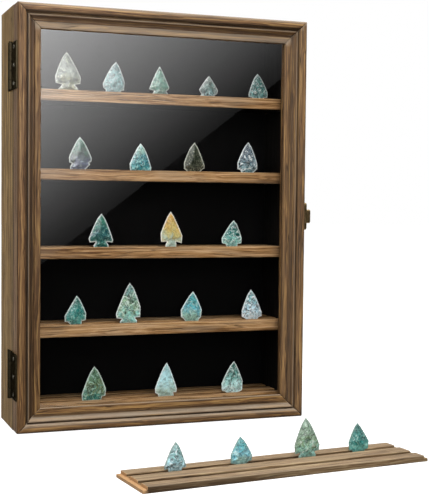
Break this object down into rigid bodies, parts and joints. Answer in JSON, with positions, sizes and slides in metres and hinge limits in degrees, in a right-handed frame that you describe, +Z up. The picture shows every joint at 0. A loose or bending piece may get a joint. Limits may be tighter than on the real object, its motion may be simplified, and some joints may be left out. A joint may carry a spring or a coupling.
{
  "type": "arrowhead display box",
  "caption": "Shallow upright wooden display cabinet for stone arrowheads, with a moulded glazed door, hinges, a cam lock and grooved shelves that slide in dados.",
  "frame": {"origin": "centre of the case's underside, where it stands", "axes": "+Z up, the glazed door faces -Y, the case's back faces +Y, hinges on the -X side"},
  "size_m": [0.3782, 0.3884, 0.48],
  "materials": {
    "rustic_walnut": "open-grained rustic walnut with a dull wax finish",
    "tan_shelf_wood": "stained lighter wood with a dull finish",
    "back_board": "thin plywood, unfinished",
    "black_felt": "matt black felt on board",
    "clear_glass": "polished clear float glass",
    "dark_bronze": "oil-rubbed dark bronze",
    "aged_brass": "aged dull brass",
    "zinc_steel": "zinc-plated steel",
    "stone_pale": "knapped pale green stone, glassy",
    "stone_green": "knapped sage green stone, glassy",
    "stone_teal": "knapped teal stone, glassy",
    "stone_dark": "knapped dark green stone, glassy",
    "stone_grey": "knapped speckled blue-grey stone, glassy",
    "stone_ice": "knapped ice-blue stone, glassy",
    "stone_amber": "knapped amber stone, glassy"
  },
  "bodies": {
    "case": {"side_left": "rustic_walnut", "side_right": "rustic_walnut", "top_panel": "rustic_walnut", "bottom_panel": "rustic_walnut", "back_panel": "back_board", "back_lining": "black_felt", "wall_hanger_left": "zinc_steel", "wall_hanger_right": "zinc_steel", "hinge_top_case_leaf": "dark_bronze", "hinge_top_pin": "dark_bronze", "hinge_bottom_case_leaf": "dark_bronze", "hinge_bottom_pin": "dark_bronze", "lock_keeper": "zinc_steel"},
    "door": {"door_stile_left": "rustic_walnut", "door_stile_right": "rustic_walnut", "door_rail_top": "rustic_walnut", "door_rail_bottom": "rustic_walnut", "glass_pane": "clear_glass", "glass_bead_left": "rustic_walnut", "glass_bead_right": "rustic_walnut", "glass_bead_top": "rustic_walnut", "glass_bead_bottom": "rustic_walnut", "hinge_top_door_leaf": "dark_bronze", "hinge_bottom_door_leaf": "dark_bronze", "lock_escutcheon": "aged_brass", "lock_barrel": "aged_brass"},
    "lock_core": {"lock_plug": "aged_brass", "lock_cam": "zinc_steel", "lock_cam_screw": "zinc_steel"},
    "shelf_1_set": {"shelf_1": "tan_shelf_wood", "arrowhead_1_1": "stone_pale", "arrowhead_1_2": "stone_ice", "arrowhead_1_3": "stone_green", "arrowhead_1_4": "stone_pale", "arrowhead_1_5": "stone_ice"},
    "shelf_2_set": {"shelf_2": "tan_shelf_wood", "arrowhead_2_1": "stone_green", "arrowhead_2_2": "stone_teal", "arrowhead_2_3": "stone_dark", "arrowhead_2_4": "stone_grey"},
    "shelf_3_set": {"shelf_3": "tan_shelf_wood", "arrowhead_3_1": "stone_dark", "arrowhead_3_2": "stone_amber", "arrowhead_3_3": "stone_teal"},
    "shelf_4_set": {"shelf_4": "tan_shelf_wood", "arrowhead_4_1": "stone_teal", "arrowhead_4_2": "stone_pale", "arrowhead_4_3": "stone_ice", "arrowhead_4_4": "stone_ice"},
    "shelf_5_set": {"shelf_5": "tan_shelf_wood", "arrowhead_5_1": "stone_green", "arrowhead_5_2": "stone_ice", "arrowhead_5_3": "stone_teal"},
    "loose_shelf_set": {"loose_shelf": "tan_shelf_wood", "arrowhead_loose_1": "stone_ice", "arrowhead_loose_2": "stone_ice", "arrowhead_loose_3": "stone_green", "arrowhead_loose_4": "stone_teal"}
  },
  "joints": [
    {"name": "door_hinge", "type": "hinge", "parent": "case", "child": "door", "pos_m": [-0.1782, -0.03975, 0.24], "axis": [0, 0, -1], "range_deg": [0, 180]},
    {"name": "lock_turn", "type": "hinge", "parent": "door", "child": "lock_core", "pos_m": [0.175, -0.05325, 0.24505], "axis": [-1, 0, 0], "range_deg": [0, 90]},
    {"name": "shelf_1_pull", "type": "slide", "parent": "case", "child": "shelf_1_set", "axis": [0, -1, 0], "range_m": [0, 0.004]},
    {"name": "shelf_2_pull", "type": "slide", "parent": "case", "child": "shelf_2_set", "axis": [0, -1, 0], "range_m": [0, 0.004]},
    {"name": "shelf_3_pull", "type": "slide", "parent": "case", "child": "shelf_3_set", "axis": [0, -1, 0], "range_m": [0, 0.004]},
    {"name": "shelf_4_pull", "type": "slide", "parent": "case", "child": "shelf_4_set", "axis": [0, -1, 0], "range_m": [0, 0.004]},
    {"name": "shelf_5_pull", "type": "slide", "parent": "case", "child": "shelf_5_set", "axis": [0, -1, 0], "range_m": [0, 0.004]},
    {"name": "loose_shelf_clear", "type": "slide", "parent": "case", "child": "loose_shelf_set", "axis": [0, -1, 0], "range_m": [0, 0.283]}
  ],
  "couplings": [
    {"joint": "loose_shelf_clear", "follows": "door_hinge", "m_per_rad": 0.09}
  ]
}
